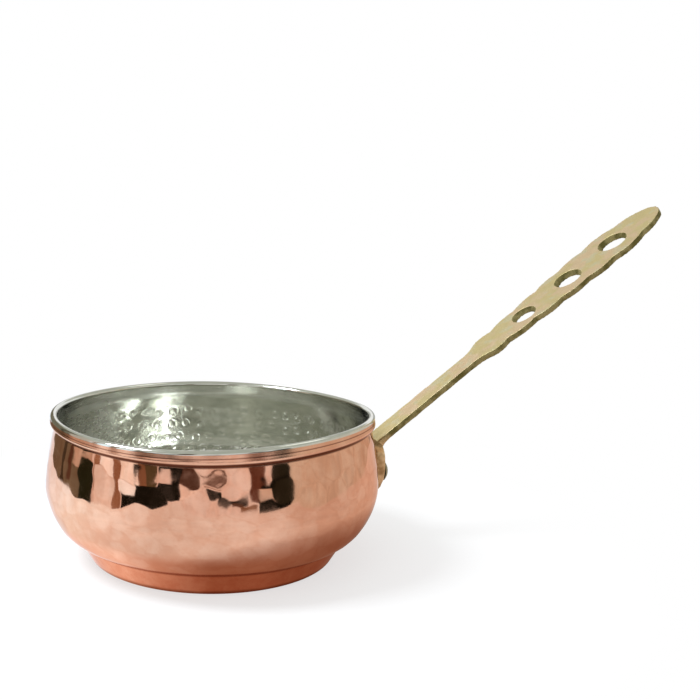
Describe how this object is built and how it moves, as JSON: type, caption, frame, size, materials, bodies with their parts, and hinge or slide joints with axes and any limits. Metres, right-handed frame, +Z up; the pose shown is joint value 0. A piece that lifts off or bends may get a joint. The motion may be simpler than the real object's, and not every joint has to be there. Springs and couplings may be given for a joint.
{
  "type": "oil heating pan",
  "caption": "Round-bellied copper pan with a tinned inside, a folded lip and a low foot, and a rising cast brass handle with a scalloped, pierced grip riveted to the wall.",
  "frame": {"origin": "centre of the flat underside of the bowl", "axes": "+Z up through the mouth; +X from the bowl's centre towards the handle, which rises along it"},
  "size_m": [0.2908, 0.1428, 0.1583],
  "materials": {
    "copper": "hammered and polished copper",
    "tin": "wiped tin, hammered",
    "brass": "as cast, softly polished",
    "rivet_brass": "peened brass, dulled"
  },
  "bodies": {
    "root": {"bowl_shell": "copper", "tin_lining": "tin", "handle": "brass", "rivet_near": "rivet_brass", "rivet_far": "rivet_brass", "rivet_low": "rivet_brass"}
  },
  "joints": []
}
